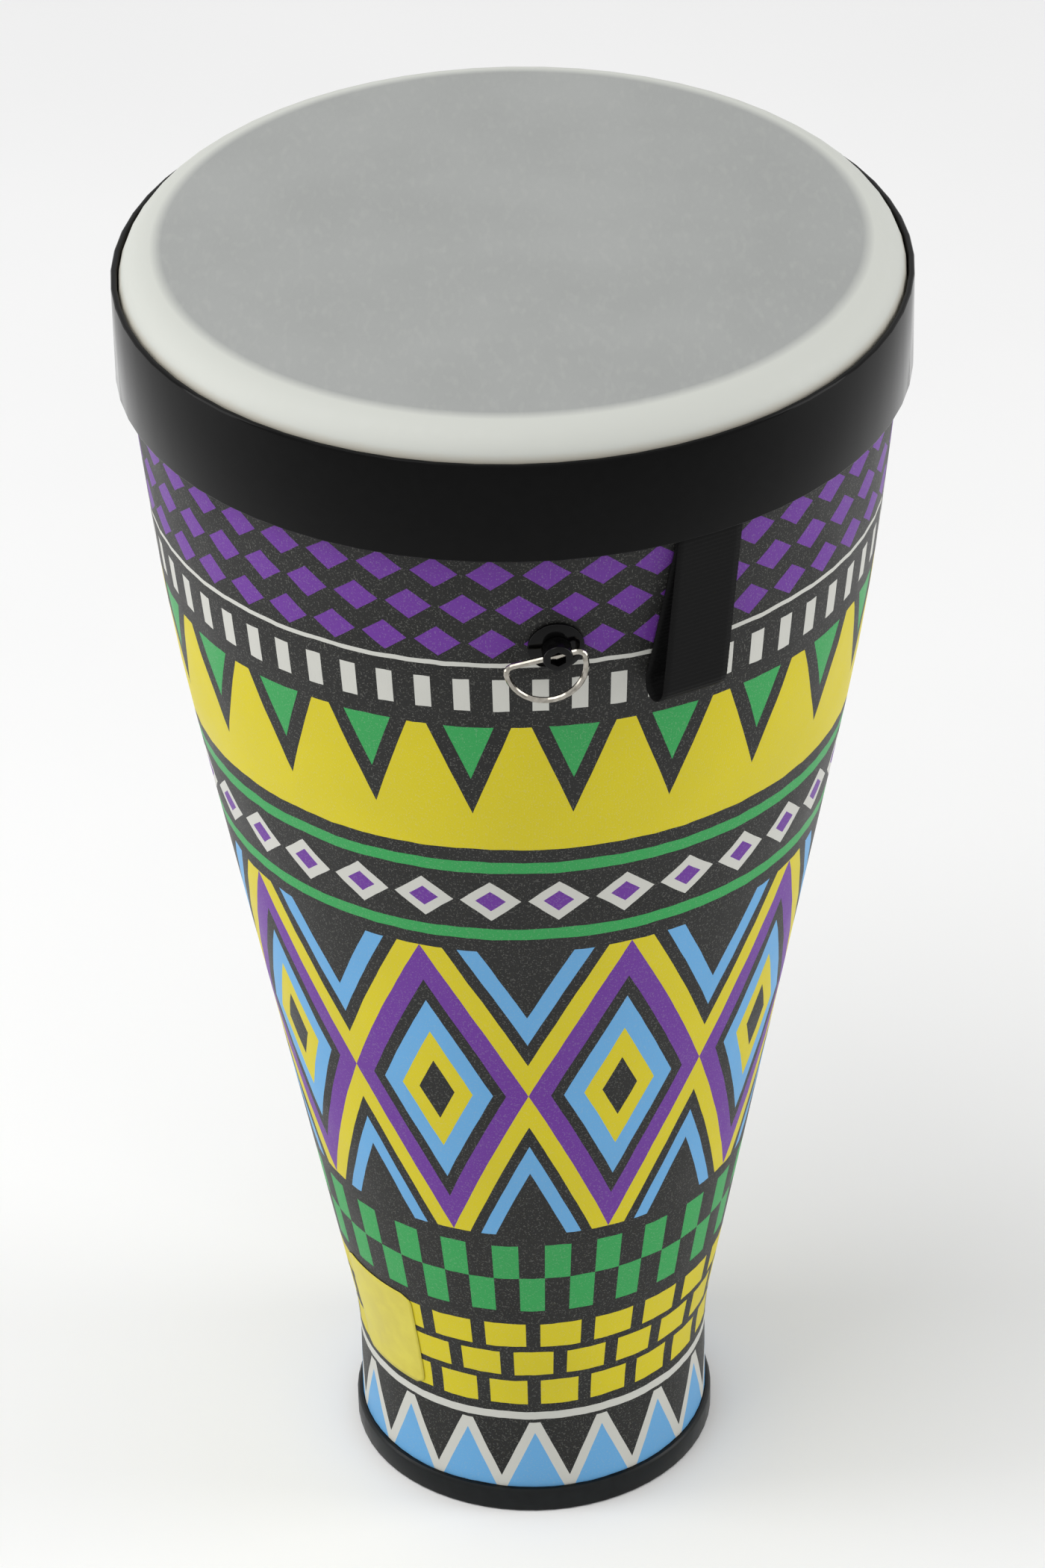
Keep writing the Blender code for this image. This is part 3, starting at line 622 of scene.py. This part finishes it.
def sticker():
    """The patch: a thin film with rounded corners."""
    faces = []
    for row in range(PATCH_STEPS):
        for column in range(PATCH_STEPS):
            first = row * (PATCH_STEPS + 1) + column
            above = first + PATCH_STEPS + 1
            faces.append((first, first + 1, above + 1, above))
    surface = speckled(
        "patch_vinyl", (200, 186, 48), (210, 198, 62), rough=(0.35, 0.45), scale=120.0, bump=0.03)
    made = mesh_object("yellow_patch", patch_points(), faces, surface)
    thick = made.modifiers.new("Film", "SOLIDIFY")
    thick.thickness = PATCH_FILM
    thick.offset = 1.0
    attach(made, "drum")


sticker()

FLOOR_REACH = 8.0
WORLD_LIGHT = 0.62
WORLD_SEEN = 1.0
LIGHTS_AIM = Vector((0.0, 0.0, 0.3))
# Name, place, width, height and watts of each light
LIGHTS = (
    ("key", (-0.9, -0.6, 2.6), 1.6, 1.6, 22.0),
    ("side_left", (-1.9, -0.1, 0.9), 0.7, 1.8, 12.0),
    ("side_right", (1.9, -0.1, 0.9), 0.7, 1.8, 12.0),
)


def paper_floor():
    """Plain pale floor."""
    g = Graph("floor_paper")
    tone = g.ramp(g.noise(3.0), NOISE_SPAN)
    colour = g.mix(tone, srgb(250, 250, 250), srgb(253, 253, 253))
    surface = g.finish(colour, g.ramp(g.noise(40.0), NOISE_SPAN, (0.85, 0.95)))
    sides = ((-1, -1), (1, -1), (1, 1), (-1, 1))
    corners = [(FLOOR_REACH * x, FLOOR_REACH * y, 0) for x, y in sides]
    floor = mesh_object("floor", corners, [(0, 1, 2, 3)], surface)


def studio_world():
    """Soft light from all sides, on a background that the camera sees as white."""
    world = bpy.data.worlds.new("studio")
    bpy.context.scene.world = world
    world.use_nodes = True
    nodes, links = world.node_tree.nodes, world.node_tree.links
    ground = nodes["Background"]
    ground.inputs["Color"].default_value = (1.0, 1.0, 1.0, 1.0)
    ray = nodes.new("ShaderNodeLightPath")
    seen = ray.outputs["Is Camera Ray"]
    for kind in ("Is Glossy Ray", "Is Transmission Ray"):
        either = nodes.new("ShaderNodeMath")
        either.operation = "MAXIMUM"
        links.new(seen, either.inputs[0])
        links.new(ray.outputs[kind], either.inputs[1])
        seen = either.outputs[0]
    strength = nodes.new("ShaderNodeMapRange")
    strength.inputs["To Min"].default_value = WORLD_LIGHT
    strength.inputs["To Max"].default_value = WORLD_SEEN
    links.new(seen, strength.inputs["Value"])
    links.new(strength.outputs[0], ground.inputs["Strength"])


def soft_lights():
    """Large area lights that face the drum."""
    for name, spot, width, height, power in LIGHTS:
        lamp = bpy.data.lights.new(name, "AREA")
        lamp.shape = "RECTANGLE"
        lamp.size = width
        lamp.size_y = height
        lamp.energy = power
        made = bpy.data.objects.new(name, lamp)
        made.location = spot
        aim = LIGHTS_AIM - Vector(spot)
        made.rotation_mode = "QUATERNION"
        made.rotation_quaternion = aim.to_track_quat("-Z", "Y")
        bpy.context.scene.collection.objects.link(made)


# The photo's viewpoint, as fitted to the hoop and the foot
SENSOR_MM = 36.0
LENS_MM = 154.3
CAMERA_SPOT = (0.0, -1.979, 1.583)
CAMERA_PITCH = math.radians(33.43)
CAMERA_ROLL = -0.0194


def camera():
    """A camera that looks down at the drum and is slightly rolled."""
    lens = bpy.data.cameras.new("camera")
    lens.sensor_fit = "AUTO"
    lens.sensor_width = SENSOR_MM
    lens.lens = LENS_MM
    forward = Vector((0.0, math.cos(CAMERA_PITCH), -math.sin(CAMERA_PITCH)))
    right = Vector((1.0, 0.0, 0.0))
    up = right.cross(forward)
    rolled_right = right * math.cos(CAMERA_ROLL) + up * math.sin(CAMERA_ROLL)
    rolled_up = rolled_right.cross(forward)
    made = bpy.data.objects.new("camera", lens)
    bpy.context.scene.collection.objects.link(made)
    turn = Matrix((rolled_right, rolled_up, -forward)).transposed()
    made.matrix_world = Matrix.Translation(CAMERA_SPOT) @ turn.to_4x4()
    bpy.context.scene.camera = made


paper_floor()
studio_world()
soft_lights()
camera()
scene = bpy.context.scene
scene.view_settings.view_transform = "Standard"
scene.view_settings.look = "None"
scene.cycles.use_denoising = True
